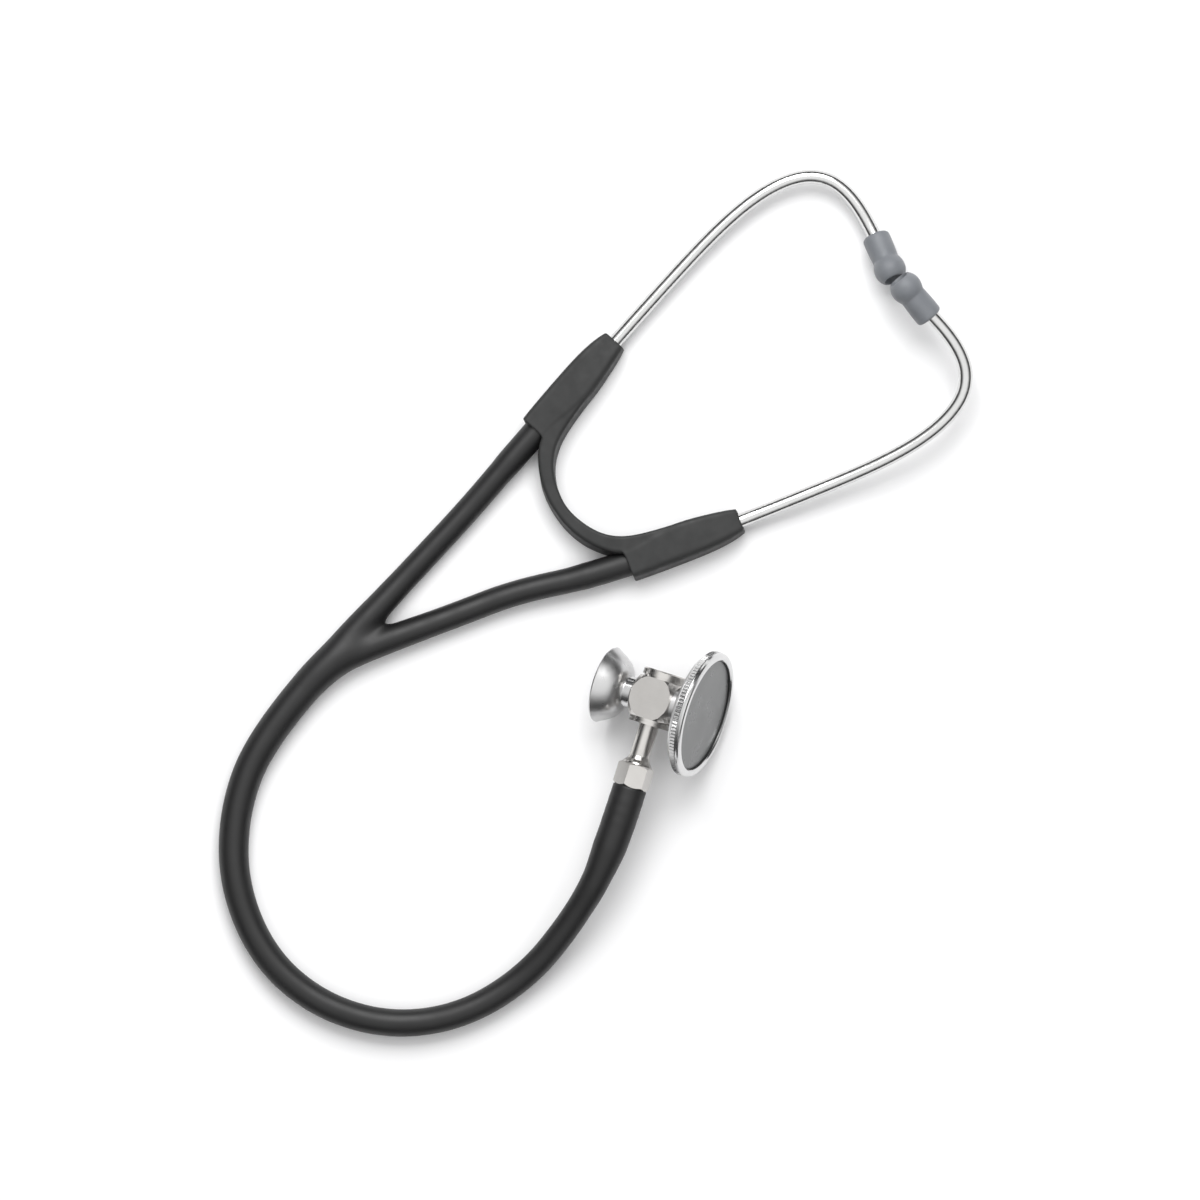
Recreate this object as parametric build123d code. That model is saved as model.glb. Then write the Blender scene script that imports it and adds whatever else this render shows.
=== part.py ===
from build123d import *
import math
import os

# A cardiology stethoscope lying flat on a table, in millimetres, +Z up.
# +Y runs along the middle of the headset towards the ear tips and the origin
# is on the table under the middle of the yoke's bow.

os.makedirs("parts", exist_ok=True)

# ---- headset: sizes ----
yoke_axis_height = 6.5
bow_height = 12.6
bow_edge_radius = 1.2
bow_split_x = 22.6
bow_split_y = 10.4
bow_split_angle = 52.0
bow_inner_edge = [(0.0, 2.4), (8.5, 4.0), (16.6, 8.2), (22.3, 14.6), (25.8, 22.0), (28.6, 30.0), (31.0, 37.5)]
bow_outer_edge = [(0.0, -2.6), (10.3, -1.3), (19.0, 2.4), (24.4, 6.4), (27.4, 10.2)]
spring_line = [
    (0.0, -0.1),
    (9.4, 1.3),
    (17.8, 5.3),
    (23.3, 10.2),
    (26.6, 16.2),
    (29.1, 25.6),
    (31.4, 34.3),
]
spring_thickness = 0.9
spring_height = 6.6
spring_slot_gap = 0.15

sleeve_foot = (31.4, 9.6)
sleeve_lean = 13.6
sleeve_length = 46.6
sleeve_socket_depth = 16.0
sleeve_socket_radius = 5.25
sleeve_corner_share = 0.36
# Stations along the sleeve: distance from the foot, outer half, inner half, height.
sleeve_stations = [
    (0.0, 6.3, 5.7, 12.7),
    (12.0, 6.7, 6.6, 12.8),
    (26.0, 6.8, 7.3, 12.7),
    (36.0, 6.4, 6.2, 12.0),
    (43.5, 5.3, 5.0, 10.4),
    (46.6, 4.5, 4.3, 8.8),
]

ear_tube_radius = 2.7
ear_tube_bore_radius = 1.95
ear_tube_start = 10.0
# Centre line beyond the straight part, with the height of the left and right tubes.
ear_tube_bends = [
    (47.1, 75.0, 6.7, 7.6),
    (51.6, 95.0, 7.0, 9.2),
    (55.4, 115.5, 7.4, 11.6),
    (56.6, 131.5, 7.8, 13.3),
    (54.9, 145.5, 8.2, 14.6),
    (51.0, 154.0, 8.3, 15.4),
    (44.6, 159.4, 8.3, 16.0),
    (36.5, 161.7, 8.2, 16.6),
    (27.5, 161.8, 8.1, 17.2),
    (19.3, 160.8, 8.4, 17.8),
    (11.9, 159.7, 10.2, 18.9),
]
tip_entry = (19.3, 160.8)
tip_entry_height = (8.4, 17.8)
tip_ball_centre = (5.1, 158.7)
tip_ball_height = (12.0, 20.1)
tip_ball_radius = 6.1
tip_skirt_radius = 5.4
tip_skirt_edge = 0.8
tip_mouth_radius = 3.1
tip_sound_radius = 1.5
tip_socket_depth = 9.5
tip_funnel_depth = 3.2

bracket_station = 22.0
bracket_length = 7.0
bracket_radius = 3.3
bracket_tab_reach = 5.2
bracket_tab_height = 6.0

# ---- tubing: sizes and routes ----
main_tube_radius = 5.5
main_tube_bore_radius = 2.4
branch_radius = 5.0
branch_bore_radius = 2.8
tube_bend_share = 0.45
main_route = [
    (-1.2, -121.0, 5.6),
    (5.4, -146.6, 5.6),
    (21.8, -170.4, 5.6),
    (45.4, -187.3, 5.6),
    (75.2, -193.7, 5.6),
    (102.6, -186.7, 5.6),
    (125.0, -168.9, 5.6),
    (137.9, -143.6, 5.6),
    (139.7, -114.6, 6.2),
    (132.2, -88.0, 13.6),
    (120.6, -63.1, 21.7),
    (102.25, -39.43, 21.7),
]
left_route = [
    (-10.9, -79.0, 5.5),
    (-15.6, -57.0, 5.1),
    (-21.2, -30.5, 5.3),
    (-28.71, -1.5, 6.5),
    (-34.5, 22.43, 6.5),
]
right_route = [
    (3.0, -79.0, 5.5),
    (8.6, -58.5, 5.1),
    (15.0, -32.5, 5.3),
    (27.89, -4.9, 6.5),
    (34.5, 22.43, 6.5),
]
# Stations down the Y: middle x, y, half spread of the two lanes, lane radius.
junction_stations = [(-2.2, -105.0, 2.7, 5.4), (-3.2, -93.3, 4.4, 5.25)]
junction_height = 5.5
web_end_y = -82.2
web_thickness = 5.0
flare_radius = 6.75
flare_length = 15.0
flare_taper_length = 13.0

# ---- chest-piece: sizes, on its own axes ----
# Its x runs down the stem to the tube and its z towards the diaphragm.
head_centre = (80.7, -11.6, 21.7)
stem_heading = -52.25
head_tilt = 20.0

block_side = 16.0
block_corner_radius = 11.4
stem_bore_radius = 4.02
port_radius = 1.6
clip_pocket_radius = 5.3
clip_pocket_floor = -4.2
clip_groove_radius = 3.2
disc_radius = 8.4
disc_groove_radius = 7.7
cap_thickness = 3.3
collar_thickness = 2.1
stem_radius = 3.95
stem_sound_radius = 1.7
flare_start_x = 22.6
hex_start_x = 26.0
tube_end_x = 35.2
hex_corner_radius = 7.2
hex_turn = 32.0
barb_end_x = 50.5
barb_root_radius = 2.5
barb_ring_radius = 3.1
barb_ring_pitch = 4.2
detent_x = 5.4
detent_ball_radius = 1.2
detent_hole_radius = 1.3
detent_dimple_depth = 0.4
o_ring_x = 2.7
o_ring_groove_radius = 2.9
o_ring_ring_radius = 3.43
o_ring_wire_radius = 0.5

bell_neck_radius = 6.1
bell_neck_start_z = -9.6
bell_start_z = -12.8
bell_mouth_z = -22.2
bell_mouth_radius = 15.0
cup_start_z = 8.2
cup_edge_z = 19.6
cup_thread_radius = 23.2
membrane_thickness = 0.4
gasket_thickness = 0.6
gasket_inner_radius = 21.7
gasket_gap = 0.05
rim_radius = 25.0
rim_back_z = 17.0
rim_shoulder_z = 19.3
rim_groove_depth = 0.6
rim_ring_inset = 0.1
rim_front_z = 21.35
rim_opening_radius = 22.0
rim_thread_radius = 23.28
rim_notch_depth = 0.45
rim_notch_count = 110


def save(shape, node):
    """Writes one named piece."""
    shape.label = node
    export_step(shape, f"parts/{node}.step")


def mirrored(points):
    """The same outline on the other side of the headset's middle."""
    return [(-x, y) for x, y in points]


def lathe(points):
    """A solid turned about Z from a closed list of radius and height."""
    outline = make_face(Polyline(*[(r, 0, z) for r, z in points], close=True))
    return revolve(outline, Axis.Z)


def along_x(shape):
    """Lays a solid made about Z down along X."""
    return Rot(0, 90, 0) * shape


def bore(radius, start, end):
    """A round cutter about Z from one height to another."""
    return Pos(0, 0, (start + end) / 2) * Cylinder(radius, end - start)


# ---- headset ----
def whole_band():
    """The yoke's bow with both roots that run into the sleeves."""
    inner = mirrored(bow_inner_edge[:0:-1]) + bow_inner_edge
    outer = mirrored(bow_outer_edge[:0:-1]) + bow_outer_edge
    inside = Spline(*inner)
    outside = Spline(*outer)
    right_end = Polyline(outer[-1], (34.5, 10.6), (36.5, 35.5), inner[-1])
    left_end = mirror(right_end, about=Plane.YZ)
    slab = extrude(make_face([inside, outside, right_end, left_end]), bow_height)
    long_edges = [e for e in slab.edges() if e.length > 50]
    return fillet(long_edges, bow_edge_radius)


def sleeve_frame():
    """The right sleeve's own frame, its Z along the ear tube."""
    lean = math.radians(sleeve_lean)
    run = (math.sin(lean), math.cos(lean), 0)
    return Plane(
        origin=(sleeve_foot[0], sleeve_foot[1], yoke_axis_height),
        x_dir=(math.cos(lean), -math.sin(lean), 0),
        z_dir=run,
    )


def sleeve_blank():
    """The right sleeve without its holes, lofted through its stations."""
    sections = []
    for distance, outer, inner, height in sleeve_stations:
        width = outer + inner
        corner = sleeve_corner_share * min(width, height) / 2
        section = Pos((outer - inner) / 2, 0, distance) * RectangleRounded(width, height, corner)
        sections.append(section)
    return sleeve_frame().location * loft(sections)


def spring_half(thickness, height):
    """The right half of a strip bent along the bow's middle line."""
    line = Spline(*spring_line, tangents=[(1, 0), (0.26, 1)])
    section = Plane(origin=line @ 0, x_dir=(0, 0, 1), z_dir=line % 0) * Rectangle(height, thickness)
    strip = sweep(section, path=line)
    return Pos(0, 0, yoke_axis_height - 0.6) * strip


def split_plane():
    """Where the bow ends and the right sleeve's moulding begins."""
    turn = math.radians(bow_split_angle)
    return Plane(origin=(bow_split_x, bow_split_y, 0), z_dir=(math.cos(turn), math.sin(turn), 0))


def sleeve_piece():
    """The right sleeve with its root, socket, ear tube hole and spring slot."""
    band = split(whole_band(), bisect_by=split_plane(), keep=Keep.TOP)
    blank = sleeve_blank() + band
    socket = bore(sleeve_socket_radius, -3.0, sleeve_socket_depth)
    tube_hole = bore(ear_tube_radius, 0, sleeve_length + 5)
    pocket = bore(
        bracket_radius,
        bracket_station - bracket_length / 2,
        bracket_station + bracket_length / 2,
    )
    holes = sleeve_frame().location * (socket + tube_hole + pocket)
    slot = spring_half(spring_thickness + 2 * spring_slot_gap, spring_height + 2 * spring_slot_gap)
    return blank - holes - slot - bracket_tab()


def bracket_tab():
    """The flat tab that reaches from the ear tube to the end of the leaf spring."""
    tab = Box(bracket_tab_reach, bracket_tab_height, bracket_length)
    return sleeve_frame().location * (Pos(-bracket_tab_reach / 2, 0, bracket_station) * tab)


def bracket_piece():
    """The saddle that ties the right ear tube to the leaf spring."""
    ring = bore(
        bracket_radius,
        bracket_station - bracket_length / 2,
        bracket_station + bracket_length / 2,
    )
    hollow = bore(ear_tube_radius, 0, sleeve_length)
    frame = sleeve_frame().location
    return frame * ring + bracket_tab() - frame * hollow


def sleeve_point(side, distance):
    """A point on a sleeve's axis, measured from its foot."""
    lean = math.radians(sleeve_lean)
    x = sleeve_foot[0] + distance * math.sin(lean)
    y = sleeve_foot[1] + distance * math.cos(lean)
    return (side * x, y, yoke_axis_height)


def ear_tube_line(side, height_index):
    """The ear tube's centre line: straight in the sleeve, then bent to the ear."""
    lean = math.radians(sleeve_lean)
    straight_end = sleeve_point(side, sleeve_length + 1.4)
    straight = Line(sleeve_point(side, ear_tube_start), straight_end)
    points = [straight_end]
    for x, y, left_height, right_height in ear_tube_bends:
        points.append((side * x, y, (left_height, right_height)[height_index]))
    sleeve_way = (side * math.sin(lean), math.cos(lean), 0)
    return Wire([straight, Spline(*points, tangents=[sleeve_way, tip_axis(side, height_index)])])


def tip_axis(side, height_index):
    """The direction an ear tip points, from its skirt to its ball."""
    run = Vector(
        side * (tip_ball_centre[0] - tip_entry[0]),
        tip_ball_centre[1] - tip_entry[1],
        tip_ball_height[height_index] - tip_entry_height[height_index],
    )
    return run.normalized()


def ear_tube(side, height_index):
    """One bent steel ear tube."""
    line = ear_tube_line(side, height_index)
    ring = Circle(ear_tube_radius) - Circle(ear_tube_bore_radius)
    return sweep(Plane(origin=line @ 0, z_dir=line % 0) * ring, path=line)


def ear_tip(side, height_index):
    """One soft ear tip: a skirt over the tube's end and a ball for the ear."""
    entry = Vector(side * tip_entry[0], tip_entry[1], tip_entry_height[height_index])
    ball = Vector(side * tip_ball_centre[0], tip_ball_centre[1], tip_ball_height[height_index])
    reach = (ball - entry).length
    skirt = lathe(
        [
            (0, 0),
            (tip_skirt_radius - tip_skirt_edge, 0),
            (tip_skirt_radius, tip_skirt_edge),
            (tip_skirt_radius, reach),
            (0, reach),
        ]
    )
    mouth = reach + math.sqrt(tip_ball_radius**2 - tip_mouth_radius**2)
    blank = skirt + Pos(0, 0, reach) * Sphere(tip_ball_radius)
    blank = blank - bore(tip_ball_radius, mouth, mouth + 5)
    funnel = lathe(
        [
            (0, mouth - tip_funnel_depth),
            (tip_sound_radius, mouth - tip_funnel_depth),
            (tip_mouth_radius - 0.4, mouth),
            (tip_mouth_radius - 0.4, mouth + 1),
            (0, mouth + 1),
        ]
    )
    blank = blank - bore(tip_sound_radius, 0, mouth) - funnel
    placed = Plane(origin=entry, z_dir=tip_axis(side, height_index)).location * blank
    return placed


def tip_socket(side, height_index):
    """The ear tube's outside, to be cut from the ear tip."""
    line = ear_tube_line(side, height_index)
    return sweep(Plane(origin=line @ 0, z_dir=line % 0) * Circle(ear_tube_radius), path=line)


# ---- tubing ----
def rounded_route(points):
    """Straight runs joined by tangent arcs, with each arc's radius printed."""
    vectors = [Vector(*p) for p in points]
    radii = []
    for before, here, after in zip(vectors, vectors[1:], vectors[2:]):
        turn = math.radians((here - before).get_angle(after - here))
        shorter = min((here - before).length, (after - here).length)
        radii.append(tube_bend_share * shorter / math.tan(turn / 2))
    print("bend radii", [round(r, 1) for r in radii])
    return FilletPolyline(*points, radius=radii)


def hose(points, radius, bore_radius):
    """A round hose swept along its route."""
    line = rounded_route(points)
    ring = Circle(radius) - Circle(bore_radius)
    print("route length", round(line.length, 1))
    return sweep(Plane(origin=line @ 0, z_dir=line % 0) * ring, path=line)


def main_tube():
    """The long tube, stretched wider where it is pushed over the stem's barbs."""
    tube = hose(main_route, main_tube_radius, main_tube_bore_radius)
    straight = bore(flare_radius, tube_end_x, tube_end_x + flare_length)
    taper_middle = tube_end_x + flare_length + flare_taper_length / 2
    taper = Pos(0, 0, taper_middle) * Cone(flare_radius, main_tube_radius, flare_taper_length)
    hollow = bore(main_tube_radius - 0.4, tube_end_x, tube_end_x + flare_length + flare_taper_length)
    flare = head_frame().location * along_x(straight + taper - hollow)
    return tube + flare


def lane_rings(side, route, trim):
    """Rings down one lane of the Y, from the main tube's start to a branch's start."""
    main_start = Vector(*main_route[0])
    main_way = (Vector(*main_route[1]) - main_start).normalized()
    branch_start = Vector(*route[0])
    branch_way = (Vector(*route[1]) - branch_start).normalized()
    rings = [Plane(origin=main_start, z_dir=-main_way) * Circle(main_tube_radius - trim)]
    for x, y, spread, radius in junction_stations:
        centre = (x + side * spread, y, junction_height)
        way = (side * 0.18, 1, 0)
        rings.append(Plane(origin=centre, z_dir=way) * Circle(radius - trim))
    rings.append(Plane(origin=branch_start, z_dir=branch_way) * Circle(branch_radius - trim))
    return rings


def y_junction():
    """The moulded Y where two branches become one tube, with its flat web."""
    wall = main_tube_radius - main_tube_bore_radius
    left_lane = loft(lane_rings(-1, left_route, 0))
    right_lane = loft(lane_rings(1, right_route, 0))
    first_x, first_y, _, _ = junction_stations[0]
    web_outline = Polyline(
        (first_x - 2, first_y),
        (left_route[0][0] + 1.5, web_end_y),
        (right_route[0][0] - 1.5, web_end_y),
        (first_x + 2, first_y),
        close=True,
    )
    web = Pos(0, 0, junction_height - web_thickness / 2) * extrude(make_face(web_outline), web_thickness)
    solid = left_lane + right_lane + web
    return solid - loft(lane_rings(-1, left_route, wall)) - loft(lane_rings(1, right_route, wall))


# ---- chest-piece ----
def head_frame():
    """The chest-piece's own axes, in the row frame."""
    stem_way = math.radians(stem_heading)
    face_way = math.radians(stem_heading + 90)
    tilt = math.radians(head_tilt)
    return Plane(
        origin=head_centre,
        x_dir=(math.cos(stem_way), math.sin(stem_way), 0),
        z_dir=(
            math.cos(tilt) * math.cos(face_way),
            math.cos(tilt) * math.sin(face_way),
            math.sin(tilt),
        ),
    )


def in_place(shape):
    """Moves a chest-piece solid from its own axes to the row frame."""
    return head_frame().location * shape


def valve_block():
    """The square block whose ends are turned down to the bell and the cup."""
    cube = Box(block_side, block_side, 2 * block_corner_radius)
    turned = lathe(
        [
            (0, bell_neck_start_z),
            (6.4, bell_neck_start_z),
            (8.5, -8.3),
            (10.3, -6.0),
            (block_corner_radius, -3.3),
            (block_corner_radius, 3.1),
            (10.4, 5.3),
            (8.8, 7.2),
            (7.4, cup_start_z),
            (0, cup_start_z),
        ]
    )
    block = cube & turned
    block = block - along_x(bore(stem_bore_radius, -block_side, block_side))
    block = block - along_x(bore(clip_pocket_radius, -block_side, clip_pocket_floor))
    block = block - bore(port_radius, -block_side, block_side)
    block = block - bore(4.0, bell_neck_start_z, -7.2)
    block = block - bore(4.5, 6.4, cup_start_z)
    detent_hole = Pos(detent_x, 6.0, 0) * Rot(90, 0, 0) * Cylinder(detent_hole_radius, 6.0)
    return block - detent_hole


def end_cap():
    """The round cap that closes the block above the stem's end."""
    start = block_side / 2
    disc = bore(disc_groove_radius, start, start + 0.7)
    disc = disc + bore(disc_radius, start + 0.7, start + cap_thickness)
    disc = disc + bore(clip_pocket_radius, start - 1.5, start)
    disc = chamfer(disc.edges().sort_by(Axis.Z)[-1], 0.5)
    return Rot(0, -90, 0) * disc


def stem_collar():
    """The round plate that closes the block on the stem's side."""
    start = block_side / 2
    disc = bore(disc_radius, start, start + 0.8)
    disc = disc + bore(disc_groove_radius, start + 0.8, start + 1.3)
    disc = disc + bore(disc_radius, start + 1.3, start + collar_thickness)
    return along_x(disc - bore(stem_bore_radius, start - 1, start + 4))


def stem():
    """Spindle, stem, hexagon and barbed tail in one turned piece."""
    shaft = bore(stem_radius, -6.2, hex_start_x)
    flare = lathe(
        [
            (0, flare_start_x),
            (stem_radius, flare_start_x),
            (stem_radius + 0.5, flare_start_x + 1.5),
            (stem_radius + 1.6, flare_start_x + 2.7),
            (hex_corner_radius - 1.3, hex_start_x),
            (0, hex_start_x),
        ]
    )
    hexagon = Rot(0, 0, hex_turn) * RegularPolygon(hex_corner_radius, 6)
    nut = Pos(0, 0, hex_start_x) * extrude(hexagon, tube_end_x - hex_start_x)
    turned = lathe(
        [
            (0, hex_start_x),
            (hex_corner_radius - 1.3, hex_start_x),
            (hex_corner_radius + 0.1, hex_start_x + 0.9),
            (hex_corner_radius + 0.1, tube_end_x - 0.9),
            (hex_corner_radius - 1.0, tube_end_x),
            (0, tube_end_x),
        ]
    )
    tail = [(0, tube_end_x - 1), (barb_root_radius, tube_end_x - 1)]
    height = tube_end_x + 1.5
    tail.append((barb_root_radius, height))
    while height + barb_ring_pitch < barb_end_x:
        tail.append((barb_ring_radius, height + 0.6))
        height = height + barb_ring_pitch
        tail.append((barb_root_radius, height))
    tail.append((barb_root_radius, barb_end_x))
    tail.append((0, barb_end_x))
    piece = shaft + flare + (nut & turned) + lathe(tail)
    piece = piece - bore(stem_sound_radius, 0, barb_end_x + 1)
    for height in (-o_ring_x, o_ring_x):
        groove = bore(stem_radius + 1, height - 0.65, height + 0.65)
        piece = piece - (groove - bore(o_ring_groove_radius, -9, 9))
    piece = piece - (bore(stem_radius + 1, -5.3, -4.3) - bore(clip_groove_radius, -9, 9))
    piece = along_x(piece)
    piece = piece - bore(port_radius, 0, 6)
    dimple = Pos(detent_x, stem_radius + detent_ball_radius - detent_dimple_depth, 0)
    return piece - dimple * Sphere(detent_ball_radius + 0.05)


def stem_clip():
    """The split ring that keeps the block on the stem."""
    ring = bore(4.9, -5.2, -4.4) - bore(clip_groove_radius + 0.02, -6, -4)
    gap = Pos(4, 0, -4.8) * Box(4, 1.6, 2)
    return along_x(ring - gap)


def stem_o_rings():
    """The two rubber rings that seal the stem's port."""
    rings = []
    for height in (-o_ring_x, o_ring_x):
        rings.append(along_x(Pos(0, 0, height) * Torus(o_ring_ring_radius, o_ring_wire_radius)))
    return rings


def detent_ball():
    """The ball that clicks into the stem's dimple."""
    height = stem_radius + detent_ball_radius - detent_dimple_depth
    return Pos(detent_x, height, 0) * Sphere(detent_ball_radius)


def detent_spring():
    """The coil that pushes the detent ball, as a ring-section barrel."""
    start = stem_radius + 2 * detent_ball_radius - detent_dimple_depth + 0.1
    line = Helix(pitch=0.35, height=0.7, radius=0.85)
    wire = sweep(Plane(origin=line @ 0, z_dir=line % 0) * Circle(0.14), path=line)
    return Pos(detent_x, start + 0.15, 0) * Rot(-90, 0, 0) * wire


def detent_screw():
    """The grub screw that closes the detent's hole."""
    top = block_side / 2
    body = bore(detent_hole_radius, top - 0.9, top)
    slot = Pos(0, 0, top) * Box(2 * detent_hole_radius, 0.4, 0.7)
    return Pos(detent_x, 0, 0) * Rot(-90, 0, 0) * (body - slot)


def bell_neck():
    """The polished nipple between the block and the bell."""
    neck = lathe(
        [
            (port_radius, -7.2),
            (4.0, -7.2),
            (4.0, bell_neck_start_z),
            (bell_neck_radius, bell_neck_start_z),
            (bell_neck_radius, bell_start_z),
            (port_radius, bell_start_z),
        ]
    )
    return neck


def bell():
    """The small bowl that listens for low sounds."""
    outside = Spline(
        (6.4, 0, bell_start_z),
        (8.9, 0, -13.7),
        (11.2, 0, -15.5),
        (13.2, 0, -18.4),
        (bell_mouth_radius, 0, bell_mouth_z + 0.5),
    )
    lip = Polyline(
        outside @ 1,
        (bell_mouth_radius - 0.2, 0, bell_mouth_z),
        (bell_mouth_radius - 1.0, 0, bell_mouth_z),
        (bell_mouth_radius - 1.5, 0, bell_mouth_z + 0.6),
    )
    inside = Spline(
        (bell_mouth_radius - 1.5, 0, bell_mouth_z + 0.6),
        (10.6, 0, -17.4),
        (7.4, 0, -15.6),
        (port_radius, 0, -14.4),
    )
    back = Polyline(inside @ 1, (port_radius, 0, bell_start_z), outside @ 0)
    return revolve(make_face([outside, lip, inside, back]), Axis.Z)


def diaphragm_cup():
    """The shallow cup behind the diaphragm, threaded for the rim."""
    return lathe(
        [
            (port_radius, 6.4),
            (4.5, 6.4),
            (4.5, cup_start_z),
            (7.4, cup_start_z),
            (7.4, 10.0),
            (9.5, 11.5),
            (19.0, 14.0),
            (22.4, 15.4),
            (cup_thread_radius, 16.3),
            (cup_thread_radius, cup_edge_z),
            (21.2, cup_edge_z),
            (20.0, 18.4),
            (4.0, 16.6),
            (port_radius, 15.6),
        ]
    )


def membrane():
    """The stiff thin disc that touches the chest."""
    return bore(cup_thread_radius, cup_edge_z, cup_edge_z + membrane_thickness)


def gasket():
    """The thin black ring between the membrane and the rim's lip."""
    start = cup_edge_z + membrane_thickness
    ring = bore(cup_thread_radius, start, start + gasket_thickness)
    return ring - bore(gasket_inner_radius, start - 1, start + 2)


def retaining_rim():
    """The coin-edged ring that screws on and holds the membrane."""
    lip_z = cup_edge_z + membrane_thickness + gasket_thickness + gasket_gap
    profile = lathe(
        [
            (rim_thread_radius, rim_back_z),
            (rim_radius - 0.5, rim_back_z),
            (rim_radius, rim_back_z + 0.5),
            (rim_radius, rim_shoulder_z),
            (rim_radius - rim_groove_depth, rim_shoulder_z + 0.1),
            (rim_radius - rim_groove_depth, rim_shoulder_z + 0.3),
            (rim_radius - rim_ring_inset, rim_shoulder_z + 0.5),
            (rim_radius - rim_ring_inset, rim_front_z - 0.9),
            (rim_radius - 0.45, rim_front_z - 0.4),
            (rim_radius - 1.0, rim_front_z - 0.1),
            (rim_radius - 1.6, rim_front_z),
            (rim_opening_radius + 0.4, rim_front_z),
            (rim_opening_radius, rim_front_z - 0.4),
            (rim_opening_radius, lip_z),
            (rim_thread_radius, lip_z),
        ]
    )
    corners = []
    step = 360.0 / rim_notch_count
    for index in range(rim_notch_count):
        for share, radius in ((0.0, rim_radius + 0.1), (0.5, rim_radius - rim_notch_depth)):
            angle = math.radians((index + share) * step)
            corners.append((radius * math.cos(angle), radius * math.sin(angle)))
    teeth = extrude(make_face(Polyline(*corners, close=True)), rim_shoulder_z - rim_back_z + 1)
    toothed = Pos(0, 0, rim_back_z - 1) * teeth
    return profile & (toothed + bore(rim_radius, rim_shoulder_z, rim_front_z + 1))


def export_headset():
    """Yoke, leaf spring, ear tubes and ear tips."""
    bow = split(whole_band(), bisect_by=split_plane(), keep=Keep.BOTTOM)
    bow = split(mirror(bow, about=Plane.YZ), bisect_by=split_plane(), keep=Keep.BOTTOM)
    spring = spring_half(spring_thickness, spring_height)
    spring = spring + mirror(spring, about=Plane.YZ)
    save(bow - spring, "yoke_bow")
    save(spring, "leaf_spring")
    for name, side, height_index in (("right", 1, 1), ("left", -1, 0)):
        sleeve = sleeve_piece()
        bracket = bracket_piece()
        if side < 0:
            sleeve = mirror(sleeve, about=Plane.YZ)
            bracket = mirror(bracket, about=Plane.YZ)
        save(sleeve, f"{name}_sleeve")
        save(bracket, f"{name}_spring_bracket")
        save(ear_tube(side, height_index), f"{name}_ear_tube")
        save(ear_tip(side, height_index) - tip_socket(side, height_index), f"{name}_ear_tip")


def export_tubing():
    """The Y-shaped tubing."""
    save(main_tube(), "main_tube")
    save(hose(left_route, branch_radius, branch_bore_radius), "left_branch_tube")
    save(hose(right_route, branch_radius, branch_bore_radius), "right_branch_tube")
    save(y_junction(), "y_junction")


def export_chest_piece():
    """The chest-piece, its valve and its stem."""
    pieces = {
        "valve_block": valve_block(),
        "end_cap": end_cap(),
        "stem_collar": stem_collar(),
        "stem": stem(),
        "stem_clip": stem_clip(),
        "detent_ball": detent_ball(),
        "detent_spring": detent_spring(),
        "detent_screw": detent_screw(),
        "bell_neck": bell_neck(),
        "bell": bell(),
        "diaphragm_cup": diaphragm_cup(),
        "membrane": membrane(),
        "diaphragm_gasket": gasket(),
        "retaining_rim": retaining_rim(),
    }
    for node, piece in pieces.items():
        save(in_place(piece), node)
    placed_rings = [in_place(ring) for ring in stem_o_rings()]
    save(Compound(children=placed_rings), "stem_o_rings")


export_headset()
export_tubing()
export_chest_piece()
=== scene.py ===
import math

import bmesh
import bpy
import numpy as np
from mathutils import Matrix, Vector


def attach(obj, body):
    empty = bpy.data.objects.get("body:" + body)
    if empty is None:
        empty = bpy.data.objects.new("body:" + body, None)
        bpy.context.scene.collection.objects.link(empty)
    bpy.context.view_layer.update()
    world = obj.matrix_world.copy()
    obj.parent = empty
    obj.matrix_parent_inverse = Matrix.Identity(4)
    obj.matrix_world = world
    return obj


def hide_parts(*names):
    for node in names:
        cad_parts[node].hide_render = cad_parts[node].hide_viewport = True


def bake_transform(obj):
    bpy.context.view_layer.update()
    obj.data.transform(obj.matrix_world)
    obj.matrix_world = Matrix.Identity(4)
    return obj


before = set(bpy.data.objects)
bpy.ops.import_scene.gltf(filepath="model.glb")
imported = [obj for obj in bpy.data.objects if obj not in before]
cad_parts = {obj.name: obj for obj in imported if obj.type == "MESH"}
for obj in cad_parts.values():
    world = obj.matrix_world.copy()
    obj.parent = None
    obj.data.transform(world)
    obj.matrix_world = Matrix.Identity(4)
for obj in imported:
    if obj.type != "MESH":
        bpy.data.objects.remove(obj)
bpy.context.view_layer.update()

# Everything is in metres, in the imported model's own frame.
MM = 0.001

# ---- camera ----
picture_centre = (0.0363, -0.0074)
picture_width = 0.4656
picture_turn = 55.0
camera_height = 6.0

# ---- tubing: the routes, and each tube's distance and radius stations in mm ----
main_route = [
    (-0.0012, -0.1210, 0.0064),
    (0.0054, -0.1466, 0.0062),
    (0.0218, -0.1704, 0.0060),
    (0.0454, -0.1873, 0.0059),
    (0.0752, -0.1937, 0.0057),
    (0.1026, -0.1867, 0.0056),
    (0.1250, -0.1689, 0.0056),
    (0.1379, -0.1436, 0.0056),
    (0.1397, -0.1146, 0.0062),
    (0.1322, -0.0880, 0.0136),
    (0.1206, -0.0631, 0.0217),
    (0.10225, -0.03943, 0.0217),
]
left_route = [
    (-0.0109, -0.0790, 0.0055),
    (-0.0156, -0.0570, 0.0051),
    (-0.0212, -0.0305, 0.0053),
    (-0.02871, -0.0015, 0.0065),
    (-0.0345, 0.02243, 0.0065),
]
right_route = [
    (0.0030, -0.0790, 0.0055),
    (0.0086, -0.0585, 0.0051),
    (0.0149, -0.0323, 0.0053),
    (0.0270, -0.0043, 0.0065),
    (0.0345, 0.02243, 0.0065),
]
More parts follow.
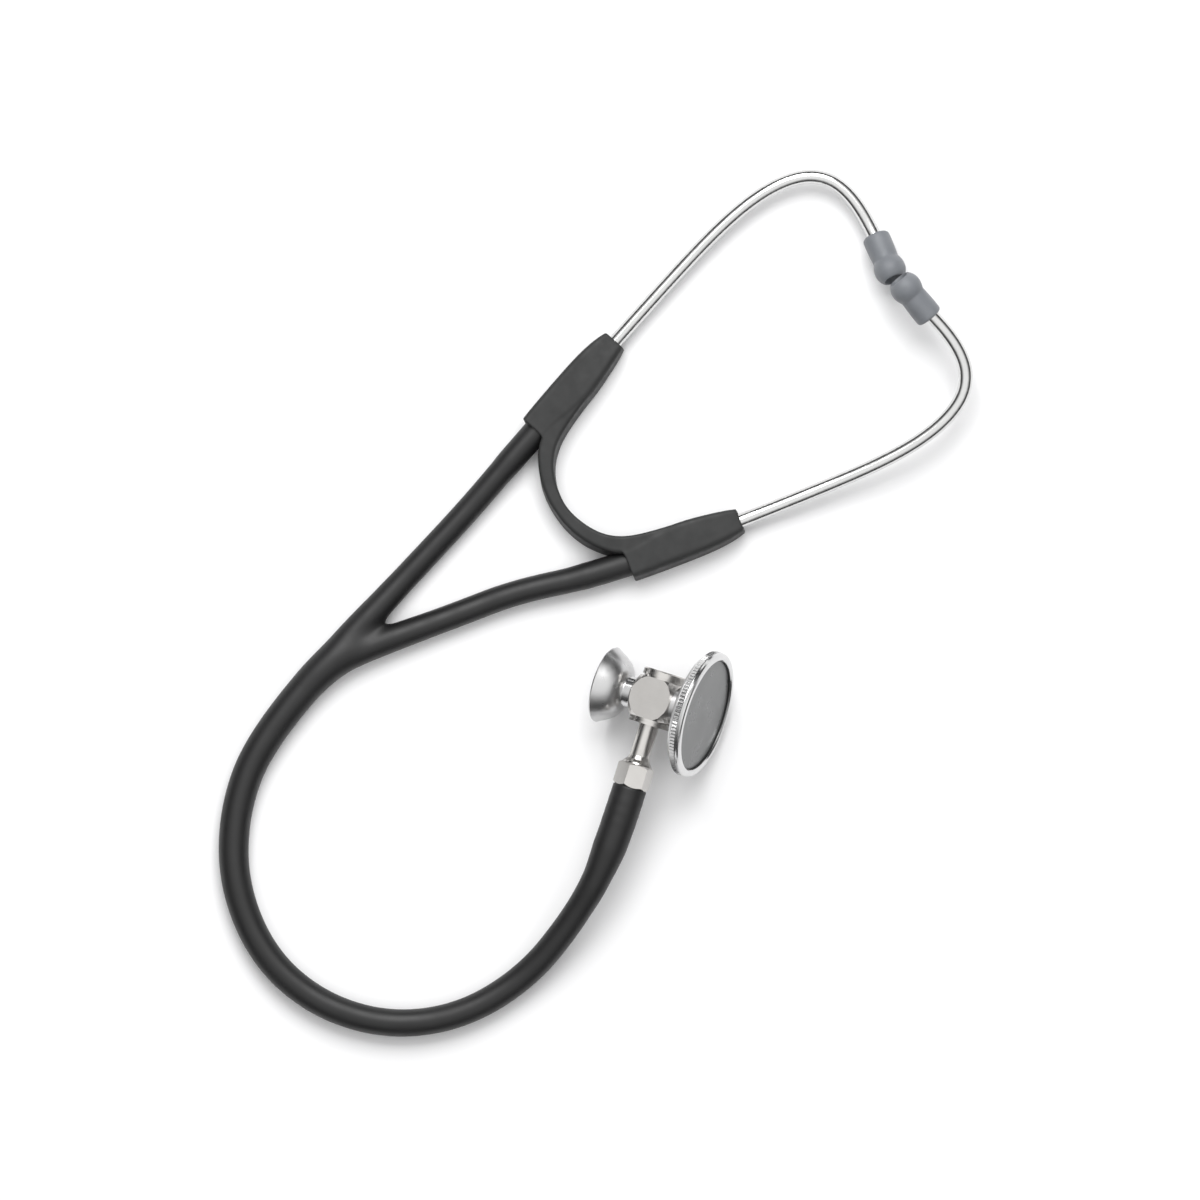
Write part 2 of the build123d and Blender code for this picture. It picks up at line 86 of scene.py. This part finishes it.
main_radii = [
    (0, 6.25), (12, 6.15), (45, 5.95), (90, 5.7), (150, 5.4),
    (200, 5.2), (262, 5.2), (276, 5.6), (288, 6.6), (400, 6.75),
]
branch_radii = [(0, 5.25), (15, 4.95), (58, 4.85), (70, 4.9), (76, 5.15), (200, 5.15)]
barb_bulge = 0.1
barb_pitch = 4.2
barb_first = 3.5
barb_count = 3
ring_step = 0.0011
direction_reach = 0.0012
# The rounded lip at the main tube's end in mm: distance back from the end, and radius lost.
lip_profile = [(0.5, 0.0), (0.22, 0.08), (0.06, 0.25), (0.0, 0.55), (0.0, 3.2)]
lane_radius_middle = 6.2
lane_handle = 0.015
lane_lead = 0.010
lane_merge = 0.0042
junction_voxel = 0.0006

# ---- headset ----
yoke_lean = 0.18
yoke_pitch = 0.10
yoke_middle_height = 0.0065
yoke_voxel = 0.00045
spring_voxel = 0.0003
arm_bend_start = (0.004, 0.002)
arm_bend_end = (0.024, 0.012)
tube_bend_start = (0.0165, -0.042)
tube_bend_end = (0.028, -0.003)
tip_entry = {"left": (-0.0178, 0.1608, 0.0084), "right": (0.0199, 0.1599, 0.0178)}
tip_ball = {"left": (-0.0046, 0.1580, 0.0131), "right": (0.0051, 0.1587, 0.0205)}
# Faces of the sound hole past this depth and inside this radius are painted black: painted shade inside the
# bore.
tip_hole_shade_radius = 0.0039
tip_hole_shade_start = 0.0098
# Ear tip outline in mm: radius and distance from the skirt's edge, out and round to the sound hole.
tip_outline = [
    (0.0, 3.2), (1.6, 3.2), (2.5, 3.1), (2.55, 2.0), (2.65, 0.5), (3.3, -0.1), (4.4, -0.1),
    (5.1, 0.2), (5.4, 0.9), (5.45, 2.6), (5.4, 5.5), (5.3, 8.2), (5.2, 9.9), (5.15, 10.7),
    (5.3, 11.2), (5.75, 12.2), (6.15, 13.6), (6.25, 15.0), (6.05, 16.5), (5.5, 17.8),
    (4.9, 18.7), (4.5, 19.15), (4.2, 19.3), (3.95, 19.25), (3.8, 18.9), (3.6, 18.0),
    (3.0, 16.4), (2.2, 15.2), (1.7, 14.0), (1.5, 12.0), (0.8, 11.0), (0.0, 11.0),
]

# ---- chest-piece axes ----
head_centre = (0.0807, -0.0116, 0.0217)
head_normal = (0.743005, 0.575296, 0.34202)
stem_way = (0.612217, -0.79069, 0.0)

# ---- light ----
key_reach = 1.0
key_height = 1.3
key_size = 1.1
key_power = 24
sky_strength = 1.2
# The sky's grey at each height of the direction looked in, from the horizon at 0 to straight up at 1.
sky_horizon = (0.1, (0.03, 0.03, 0.031))
sky_middle = ((0.45, 0.10), (0.65, 0.45))
sky_top = (0.85, (1, 1, 1))


def make_camera():
    """A long lens straight above the table, turned as the picture is."""
    data = bpy.data.cameras.new("camera")
    data.sensor_width = 36.0
    data.lens = data.sensor_width * camera_height / picture_width
    camera = bpy.data.objects.new("camera", data)
    camera.location = (*picture_centre, camera_height)
    camera.rotation_euler = (0, 0, math.radians(picture_turn))
    bpy.context.scene.collection.objects.link(camera)
    bpy.context.scene.camera = camera


# ---- mesh helpers ----
def new_piece(name, verts, faces):
    """A smooth-shaded mesh piece from its points and faces."""
    mesh = bpy.data.meshes.new(name)
    mesh.from_pydata([tuple(v) for v in verts], [], faces)
    return show_mesh(name, mesh)


def show_mesh(name, mesh):
    """Links a mesh as a piece, smooth except at sharp edges."""
    mesh.name = name
    mesh.shade_smooth()
    mesh.set_sharp_from_angle(angle=math.radians(50))
    piece = bpy.data.objects.new(name, mesh)
    bpy.context.scene.collection.objects.link(piece)
    return piece


def smooth_line(points):
    """The smooth line that a route's points pull into shape, as vectors."""
    data = bpy.data.curves.new("line", "CURVE")
    data.dimensions = "3D"
    data.resolution_u = 24
    spline = data.splines.new("NURBS")
    spline.points.add(len(points) - 1)
    for point, place in zip(spline.points, points):
        point.co = (*place, 1.0)
    spline.order_u = 3
    spline.use_endpoint_u = True
    holder = bpy.data.objects.new("line", data)
    mesh = bpy.data.meshes.new_from_object(holder)
    line = np.array([v.co for v in mesh.vertices])
    bpy.data.objects.remove(holder)
    bpy.data.meshes.remove(mesh)
    return line


class Path:
    """A line that can be asked for a place and its axes at a distance along it."""

    def __init__(self, line):
        self.line = np.array(line)
        steps = np.linalg.norm(np.diff(self.line, axis=0), axis=1)
        self.marks = np.concatenate([[0.0], np.cumsum(steps)])
        self.length = self.marks[-1]

    def at(self, distance):
        return np.array([np.interp(distance, self.marks, self.line[:, k]) for k in range(3)])

    def axes(self, distance):
        after = self.at(min(distance + direction_reach, self.length))
        run = after - self.at(max(distance - direction_reach, 0.0))
        run = run / np.linalg.norm(run)
        side = np.cross(run, (0.0, 0.0, 1.0))
        side = side / np.linalg.norm(side)
        return side, np.cross(side, run)


def swept_tube(name, path, stations, sides=56):
    """A closed tube with a ring at each (distance, radius) station."""
    verts = []
    for distance, radius in stations:
        centre = path.at(distance)
        side, up = path.axes(distance)
        for k in range(sides):
            angle = 2 * math.pi * k / sides
            verts.append(centre + radius * (math.cos(angle) * side + math.sin(angle) * up))
    faces = [tuple(range(sides - 1, -1, -1))]
    for ring in range(len(stations) - 1):
        for k in range(sides):
            a = ring * sides + k
            b = ring * sides + (k + 1) % sides
            faces.append((a, b, b + sides, a + sides))
    last = (len(stations) - 1) * sides
    faces.append(tuple(range(last, last + sides)))
    return new_piece(name, verts, faces)


def turned_piece(name, outline, base, axis, sides=72):
    """A closed solid turned about an axis from (radius, distance) pairs that start and end on it."""
    axis = Vector(axis).normalized()
    side = axis.cross(Vector((0, 0, 1))).normalized()
    up = side.cross(axis)
    verts = [Vector(base) + outline[0][1] * axis]
    for radius, distance in outline[1:-1]:
        for k in range(sides):
            angle = 2 * math.pi * k / sides
            spoke = math.cos(angle) * side + math.sin(angle) * up
            verts.append(Vector(base) + distance * axis + radius * spoke)
    verts.append(Vector(base) + outline[-1][1] * axis)
    faces = []
    rings = len(outline) - 2
    for k in range(sides):
        faces.append((0, 1 + (k + 1) % sides, 1 + k))
    for ring in range(rings - 1):
        for k in range(sides):
            a = 1 + ring * sides + k
            b = 1 + ring * sides + (k + 1) % sides
            faces.append((a, b, b + sides, a + sides))
    last = 1 + (rings - 1) * sides
    for k in range(sides):
        faces.append((last + k, last + (k + 1) % sides, len(verts) - 1))
    piece = new_piece(name, verts, faces)
    face_outwards(piece.data)
    return piece


def face_outwards(mesh):
    """Turns every face of a closed mesh outwards."""
    made = bmesh.new()
    made.from_mesh(mesh)
    bmesh.ops.recalc_face_normals(made, faces=made.faces)
    made.to_mesh(mesh)
    made.free()


def reskinned(mesh, voxel, rounds):
    """An even skin over a closed mesh, smoothed a little."""
    holder = bpy.data.objects.new("skin", mesh)
    bpy.context.scene.collection.objects.link(holder)
    remesh = holder.modifiers.new("skin", "REMESH")
    remesh.mode = "VOXEL"
    remesh.voxel_size = voxel
    smooth = holder.modifiers.new("smooth", "SMOOTH")
    smooth.factor = 0.5
    smooth.iterations = rounds
    graph = bpy.context.evaluated_depsgraph_get()
    skin = bpy.data.meshes.new_from_object(holder.evaluated_get(graph))
    bpy.data.objects.remove(holder)
    return skin


def joined_copy(nodes):
    """One mesh with copies of these CAD nodes."""
    made = bmesh.new()
    for node in nodes:
        made.from_mesh(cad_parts[node].data)
    bmesh.ops.remove_doubles(made, verts=made.verts, dist=1e-6)
    mesh = bpy.data.meshes.new("copy")
    made.to_mesh(mesh)
    made.free()
    return mesh


def cut_away(made, point, normal):
    """Removes what lies on the normal's side of a plane and closes the cut."""
    geometry = made.verts[:] + made.edges[:] + made.faces[:]
    cut = bmesh.ops.bisect_plane(made, geom=geometry, plane_co=point, plane_no=normal, clear_outer=True)
    edges = [e for e in cut["geom_cut"] if isinstance(e, bmesh.types.BMEdge)]
    bmesh.ops.edgenet_fill(made, edges=edges)


def half_of(mesh, side):
    """The half of a mesh on one side of the headset's middle."""
    made = bmesh.new()
    made.from_mesh(mesh)
    cut_away(made, (0, 0, 0), (-side, 0, 0))
    half = bpy.data.meshes.new("half")
    made.to_mesh(half)
    made.free()
    return half


# ---- tubing ----
def radius_at(stations, distance):
    """A tube's radius in metres at a distance in metres."""
    marks = [d * MM for d, _ in stations]
    radii = [r * MM for _, r in stations]
    return float(np.interp(distance, marks, radii))


def even_stations(path, stations):
    """Rings along a tube, a step apart, with its own radii."""
    count = round(path.length / ring_step)
    rings = []
    for k in range(count + 1):
        distance = path.length * k / count
        rings.append((distance, radius_at(stations, distance)))
    return rings


def over_barbs(path, rings):
    """The tube's end, pushed over the barbs: faint bulges and a rounded lip."""
    bulged = []
    for distance, radius in rings[:-1]:
        from_end = (path.length - distance) / MM
        turn = (from_end - barb_first) / barb_pitch
        if 0 <= turn <= barb_count:
            radius = radius + barb_bulge * MM * (1 - math.cos(2 * math.pi * turn)) / 2
        bulged.append((distance, radius))
    end_radius = rings[-1][1]
    for back, drop in lip_profile:
        bulged.append((path.length - back * MM, end_radius - drop * MM))
    return bulged


def bend_between(piece, side, start, end):
    """Bakes a piece's placement into its mesh; it works out the ends of a bend from the tubing's body to one
    arm's, but bends nothing.
    """
    start = (side * start[0], start[1], yoke_middle_height)
    end = (side * end[0], end[1], yoke_middle_height)
    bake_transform(piece)


def make_main_tube():
    """The long tube from the Y to the chest-piece."""
    path = Path(smooth_line(main_route))
    rings = over_barbs(path, even_stations(path, main_radii))
    tube = swept_tube("main_tube_skin", path, rings)
    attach(tube, "tubing")
    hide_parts("main_tube")
    return tube


def make_branch(name, side, route):
    """One branch from the Y into its sleeve."""
    path = Path(smooth_line(route))
    rings = even_stations(path, branch_radii)
    tube = swept_tube(f"{name}_branch_skin", path, rings)
    bend_between(tube, side, tube_bend_start, tube_bend_end)
    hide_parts(f"{name}_branch_tube")
    return tube


def lane(route):
    """One lane through the Y: its line and its radii, with a straight lead at each end."""
    start = Vector(main_route[0])
    start_way = (start - Vector(main_route[1])).normalized()
    end = Vector(route[0])
    end_way = (Vector(route[1]) - end).normalized()
    corners = [start, start + lane_handle * start_way, end - lane_handle * end_way, end]
    places = []
    radii = []
    steps = 40
    start_radius = main_radii[0][1] * MM - lane_merge / 4
    end_radius = branch_radii[0][1] * MM
    middle_radius = lane_radius_middle * MM - lane_merge / 8
    for k in range(steps + 1):
        t = k / steps
        weights = ((1 - t) ** 3, 3 * t * (1 - t) ** 2, 3 * t * t * (1 - t), t**3)
        places.append(sum((w * c for w, c in zip(weights, corners)), Vector()))
        crown = 4 * t * (1 - t)
        plain = start_radius + (end_radius - start_radius) * t
        radii.append(plain + crown * (middle_radius - (start_radius + end_radius) / 2))
    places = [start - lane_lead * start_way] + places + [end + lane_lead * end_way]
    radii = [start_radius] + radii + [end_radius]
    return np.array(places), np.array(radii)


def lane_distance(points, line, radii):
    """How far each point is outside one lane's skin."""
    best = np.full(len(points), 1e9)
    for a, b, ra, rb in zip(line, line[1:], radii, radii[1:]):
        run = b - a
        t = np.clip((points - a) @ run / (run @ run), 0, 1)
        gap = np.linalg.norm(points - (a + t[:, None] * run), axis=1) - (ra + t * (rb - ra))
        best = np.minimum(best, gap)
    return best


def make_junction():
    """The moulded Y: two lanes that melt into one skin, with a flat web between them."""
    lanes = [lane(left_route), lane(right_route)]

    def outside(points):
        left, right = (lane_distance(points, *one) for one in lanes)
        near = np.clip(lane_merge - np.abs(left - right), 0, None) / lane_merge
        return np.minimum(left, right) - near * near * lane_merge / 4

    made = bmesh.new()
    for line, radii in lanes:
        path = Path(line)
        rings = [(mark, radius) for mark, radius in zip(path.marks, radii)]
        blank = swept_tube("lane", path, rings)
        made.from_mesh(blank.data)
        bpy.data.objects.remove(blank)
    blank = bpy.data.meshes.new("lanes")
    made.to_mesh(blank)
    made.free()
    skin = reskinned(blank, junction_voxel, 4)
    points = np.array([v.co for v in skin.vertices], float)
    nudge = 2e-5
    for _ in range(6):
        away = outside(points)
        slope = np.stack([(outside(points + nudge * step) - away) / nudge for step in np.eye(3)], axis=1)
        slope = slope / np.maximum(np.linalg.norm(slope, axis=1), 0.3)[:, None]
        points = points - away[:, None] * slope
    skin.vertices.foreach_set("co", points.astype(np.float32).ravel())
    made = bmesh.new()
    made.from_mesh(skin)
    start = Vector(main_route[0])
    cut_away(made, start, Vector(main_route[1]) - start)
    for route in (left_route, right_route):
        cut_away(made, Vector(route[0]), Vector(route[1]) - Vector(route[0]))
    made.to_mesh(skin)
    made.free()
    junction = show_mesh("y_junction_skin", skin)
    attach(junction, "tubing")
    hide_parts("y_junction")
    return junction


# ---- headset ----
def leaned(mesh):
    """Leans a mesh as the real headset leans on the table: its top goes left and up the picture."""
    points = np.array([v.co for v in mesh.vertices], float)
    above = points[:, 2] - yoke_middle_height
    share = np.clip((0.012 - points[:, 1]) / 0.012, 0, 1)
    points[:, 0] -= yoke_lean * above
    points[:, 1] += yoke_pitch * above * share
    mesh.vertices.foreach_set("co", points.astype(np.float32).ravel())


def make_yoke():
    """The yoke's two halves, cut at the bow."""
    skin = reskinned(joined_copy(["yoke_bow", "left_sleeve", "right_sleeve"]), yoke_voxel, 3)
    leaned(skin)
    halves = []
    for name, side in (("left", -1), ("right", 1)):
        half = show_mesh(f"{name}_yoke_half", half_of(skin, side))
        bend_between(half, side, arm_bend_start, arm_bend_end)
        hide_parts("yoke_bow", f"{name}_sleeve")
        halves.append(half)
    return halves


def make_leaf_spring():
    """The hidden spring's two halves, cut at the middle."""
    skin = reskinned(joined_copy(["leaf_spring"]), spring_voxel, 1)
    halves = []
    for name, side in (("left", -1), ("right", 1)):
        half = show_mesh(f"{name}_spring_half", half_of(skin, side))
        bend_between(half, side, arm_bend_start, arm_bend_end)
        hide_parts("leaf_spring")
        halves.append(half)
    return halves


def make_ear_tip(name):
    """One soft ear tip with its skirt, ball and sound hole; the faces deep in the hole take a second
    material, painted shade.
    """
    entry = Vector(tip_entry[name])
    ball = Vector(tip_ball[name])
    rounded = smooth_line([(r * MM, 0.0, d * MM) for r, d in tip_outline])
    outline = [(max(float(x), 0.0), float(z)) for x, _, z in rounded]
    tip = turned_piece(f"{name}_ear_tip_soft", outline, entry, ball - entry)
    way = (ball - entry).normalized()
    # Painted shade: faces deep in the sound hole take the second material, a black that stands in for the
    # shade there.
    for face in tip.data.polygons:
        along = (face.center - entry).dot(way)
        across = (face.center - entry - along * way).length
        if along > tip_hole_shade_start and across < tip_hole_shade_radius:
            face.material_index = 1
    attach(tip, f"{name}_arm")
    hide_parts(f"{name}_ear_tip")
    return tip


# ---- materials ----
class Finish:
    """One material's nodes, laid on a principled surface."""

    def __init__(self, name):
        self.material = bpy.data.materials.new(name)
        self.material.use_nodes = True
        tree = self.material.node_tree
        self.nodes = tree.nodes
        self.links = tree.links
        self.surface = self.nodes["Principled BSDF"]
        self.place = self.nodes.new("ShaderNodeTexCoord").outputs["Object"]

    def set(self, **values):
        """Sets sockets that are the same all over the surface."""
        for key, value in values.items():
            self.surface.inputs[key.replace("_", " ")].default_value = value

    def stretched(self, scale, turn=(0, 0, 0), shift=(0, 0, 0)):
        """The place, turned and stretched."""
        node = self.nodes.new("ShaderNodeMapping")
        node.inputs["Scale"].default_value = scale
        node.inputs["Rotation"].default_value = turn
        node.inputs["Location"].default_value = shift
        self.links.new(self.place, node.inputs["Vector"])
        return node.outputs["Vector"]

    def noise(self, scale, detail=3.0, place=None):
        node = self.nodes.new("ShaderNodeTexNoise")
        node.inputs["Scale"].default_value = scale
        node.inputs["Detail"].default_value = detail
        self.links.new(place or self.place, node.inputs["Vector"])
        return node.outputs["Fac"]

    def between(self, source, low, high, start=0.3, end=0.7):
        """A number that goes from low to high as the source goes from start to end."""
        node = self.nodes.new("ShaderNodeMapRange")
        node.inputs["From Min"].default_value = start
        node.inputs["From Max"].default_value = end
        node.inputs["To Min"].default_value = low
        node.inputs["To Max"].default_value = high
        self.links.new(source, node.inputs["Value"])
        return node.outputs["Result"]

    def colours(self, source, low, high, start=0.3, end=0.7):
        """The surface's colour, from low to high."""
        node = self.nodes.new("ShaderNodeMix")
        node.data_type = "RGBA"
        node.inputs["A"].default_value = (*low, 1)
        node.inputs["B"].default_value = (*high, 1)
        self.links.new(self.between(source, 0, 1, start, end), node.inputs["Factor"])
        self.links.new(node.outputs["Result"], self.surface.inputs["Base Color"])

    def roughness(self, source, low, high, start=0.3, end=0.7):
        self.links.new(self.between(source, low, high, start, end), self.surface.inputs["Roughness"])

    def bumps(self, *layers):
        """Bumps from (height, depth in metres) layers, one over another."""
        normal = None
        for height, depth in layers:
            node = self.nodes.new("ShaderNodeBump")
            node.inputs["Distance"].default_value = depth
            self.links.new(height, node.inputs["Height"])
            if normal is not None:
                self.links.new(normal, node.inputs["Normal"])
            normal = node.outputs["Normal"]
        self.links.new(normal, self.surface.inputs["Normal"])


def rubber_finish():
    """Black-grey tubing: satin, with a faint bloom and handling marks."""
    finish = Finish("tubing_rubber")
    finish.colours(finish.noise(55, 5), (0.0050, 0.0050, 0.0053), (0.0078, 0.0078, 0.0081))
    finish.roughness(finish.noise(140, 6), 0.44, 0.54)
    finish.bumps((finish.noise(1500, 2), 0.000006), (finish.noise(90, 2), 0.00005))
    finish.set(Specular_IOR_Level=0.5)
    return finish.material


def vinyl_finish():
    """The yoke's moulded vinyl: matt dark grey with a fine spark-eroded grain."""
    finish = Finish("yoke_vinyl")
    finish.colours(finish.noise(70, 4), (0.020, 0.0205, 0.0205), (0.027, 0.0275, 0.0275))
    finish.roughness(finish.noise(260, 5), 0.52, 0.66)
    finish.bumps((finish.noise(2600, 3), 0.000022), (finish.noise(120, 2), 0.00003))
    finish.set(Specular_IOR_Level=0.4)
    return finish.material


def silicone_finish():
    """Soft grey-blue silicone with a dry sheen."""
    finish = Finish("ear_tip_silicone")
    finish.colours(finish.noise(160, 4), (0.150, 0.160, 0.175), (0.178, 0.188, 0.203))
    finish.roughness(finish.noise(420, 4), 0.44, 0.6)
    finish.bumps((finish.noise(2200, 2), 0.000012))
    finish.set(Subsurface_Weight=0.12, Subsurface_Radius=(0.0016, 0.0014, 0.0014), Subsurface_Scale=0.6)
    finish.set(Sheen_Weight=0.12, Sheen_Roughness=0.5)
    return finish.material


def steel_finish(name, colour, dark, low, high, grain, depth):
    """A steel with cloudy colour, uneven polish and a fine grain."""
    finish = Finish(name)
    finish.set(Metallic=1.0)
    finish.colours(finish.noise(110, 4), dark, colour)
    finish.roughness(finish.noise(330, 5), low, high)
    finish.bumps((finish.noise(grain, 3), depth))
    return finish.material


def turned_steel_finish(name, colour, dark, low, high, rings, depth):
    """A steel turned on a lathe: fine rings round the chest-piece's own axis."""
    finish = Finish(name)
    finish.set(Metallic=1.0)
    normal = Vector(head_normal)
    along = Vector(stem_way)
    to_head = Matrix((along, normal.cross(along), normal))
    shift = -(to_head @ Vector(head_centre))
    place = finish.stretched((1, 1, 1), to_head.to_euler(), shift)
    wave = finish.nodes.new("ShaderNodeTexWave")
    wave.wave_type = "RINGS"
    wave.rings_direction = "Z"
    wave.inputs["Scale"].default_value = rings
    wave.inputs["Distortion"].default_value = 1.2
    wave.inputs["Detail"].default_value = 2.0
    finish.links.new(place, wave.inputs["Vector"])
    finish.colours(finish.noise(120, 4), dark, colour)
    finish.roughness(finish.noise(350, 5), low, high)
    finish.bumps((finish.noise(900, 3), depth), (wave.outputs["Fac"], depth))
    return finish.material


def membrane_finish():
    """The membrane's grey laminate: smooth, with the faint weave of its glass cloth."""
    finish = Finish("membrane_laminate")
    finish.colours(finish.noise(40, 3), (0.150, 0.153, 0.155), (0.166, 0.169, 0.171))
    finish.roughness(finish.noise(120, 4), 0.26, 0.34)
    finish.bumps((finish.noise(1400, 2), 0.0000004))
    finish.set(Specular_IOR_Level=0.5)
    return finish.material


def seal_rubber_and_shade_finish(name):
    """Black rubber of the gasket and O-rings; also the painted shade inside the ear tips' sound holes, black
    where only shade falls.
    """
    finish = Finish(name)
    finish.colours(finish.noise(300, 3), (0.008, 0.008, 0.008), (0.014, 0.014, 0.014))
    finish.roughness(finish.noise(600, 3), 0.5, 0.65)
    finish.bumps((finish.noise(1800, 2), 0.000008))
    return finish.material


def wear(piece, material):
    """Gives a piece one material all over."""
    piece.data.materials.clear()
    piece.data.materials.append(material)


def finish_cad_nodes():
    """The finishes of the CAD nodes that stay."""
    polished = steel_finish(
        "ear_tube_steel", (0.66, 0.66, 0.655), (0.62, 0.62, 0.615),
        0.14, 0.20, 2400, 0.0000006,
    )
    satin = steel_finish(
        "satin_steel", (0.60, 0.585, 0.565), (0.56, 0.545, 0.525),
        0.20, 0.26, 2600, 0.0000008,
    )
    spring = steel_finish("spring_steel", (0.42, 0.42, 0.43), (0.34, 0.34, 0.35), 0.28, 0.4, 1800, 0.000004)
    bright = turned_steel_finish(
        "bright_steel", (0.66, 0.66, 0.66), (0.62, 0.62, 0.62),
        0.16, 0.22, 900, 0.0000006,
    )
    blasted = turned_steel_finish(
        "blasted_steel", (0.60, 0.60, 0.60), (0.57, 0.57, 0.57),
        0.27, 0.32, 700, 0.000001,
    )
    seal = seal_rubber_and_shade_finish("seal_rubber")
    finishes = {
        polished: ["left_ear_tube", "right_ear_tube"],
        satin: ["valve_block", "stem", "stem_collar", "end_cap", "detent_screw"],
        spring: ["left_spring_bracket", "right_spring_bracket", "stem_clip", "detent_ball", "detent_spring"],
        bright: ["retaining_rim", "bell_neck"],
        blasted: ["bell", "diaphragm_cup"],
        seal: ["diaphragm_gasket", "stem_o_rings"],
        membrane_finish(): ["membrane"],
    }
    for material, nodes in finishes.items():
        for node in nodes:
            wear(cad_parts[node], material)
    return spring


# ---- stage ----
def make_floor():
    """A plain pale floor."""
    reach = 3.0
    corners = [(-reach, -reach, 0), (reach, -reach, 0), (reach, reach, 0), (-reach, reach, 0)]
    floor = new_piece("floor", corners, [(0, 1, 2, 3)])
    paint = Finish("floor_paint")
    paint.colours(paint.noise(3, 2), (0.90, 0.90, 0.905), (0.91, 0.91, 0.915))
    paint.set(Roughness=0.9, Specular_IOR_Level=0.1)
    wear(floor, paint.material)


def make_softbox(name, place, aim, size, power):
    """A square soft light that faces a point."""
    data = bpy.data.lights.new(name, "AREA")
    data.size = size
    data.energy = power
    light = bpy.data.objects.new(name, data)
    light.location = place
    light.rotation_euler = (Vector(aim) - Vector(place)).to_track_quat("-Z", "Y").to_euler()
    bpy.context.scene.collection.objects.link(light)


def make_studio():
    """Soft light from above the picture, in a pale room that darkens at the horizon."""
    up = Matrix.Rotation(math.radians(picture_turn), 3, "Z") @ Vector((0, 1, 0))
    middle = Vector((*picture_centre, 0))
    make_softbox("key", middle + up * key_reach + Vector((0, 0, key_height)), middle, key_size, key_power)
    world = bpy.data.worlds.new("studio")
    bpy.context.scene.world = world
    world.use_nodes = True
    nodes = world.node_tree.nodes
    links = world.node_tree.links
    place = nodes.new("ShaderNodeTexCoord")
    split = nodes.new("ShaderNodeSeparateXYZ")
    ramp = nodes.new("ShaderNodeValToRGB")
    for element, (position, colour) in zip(ramp.color_ramp.elements, (sky_horizon, sky_top)):
        element.position = position
        element.color = (*colour, 1)
    for position, grey in sky_middle:
        shade = ramp.color_ramp.elements.new(position)
        shade.color = (grey, grey, grey, 1)
    links.new(place.outputs["Generated"], split.inputs["Vector"])
    links.new(split.outputs["Z"], ramp.inputs["Fac"])
    links.new(ramp.outputs["Color"], nodes["Background"].inputs["Color"])
    nodes["Background"].inputs["Strength"].default_value = sky_strength
    bpy.context.scene.view_settings.view_transform = "Standard"


make_camera()
main_tube = make_main_tube()
left_branch = make_branch("left", -1, left_route)
right_branch = make_branch("right", 1, right_route)
junction = make_junction()
rubber = rubber_finish()
for piece in (main_tube, left_branch, right_branch, junction):
    wear(piece, rubber)

vinyl = vinyl_finish()
for piece in make_yoke():
    wear(piece, vinyl)
spring_steel = finish_cad_nodes()
for piece in make_leaf_spring():
    wear(piece, spring_steel)
silicone = silicone_finish()
# Painted shade: a black finish for the inside of the ear tips' sound holes.
hole_shade = seal_rubber_and_shade_finish("sound_hole_painted_shade")
for name in ("left", "right"):
    tip = make_ear_tip(name)
    wear(tip, silicone)
    tip.data.materials.append(hole_shade)

make_floor()
make_studio()
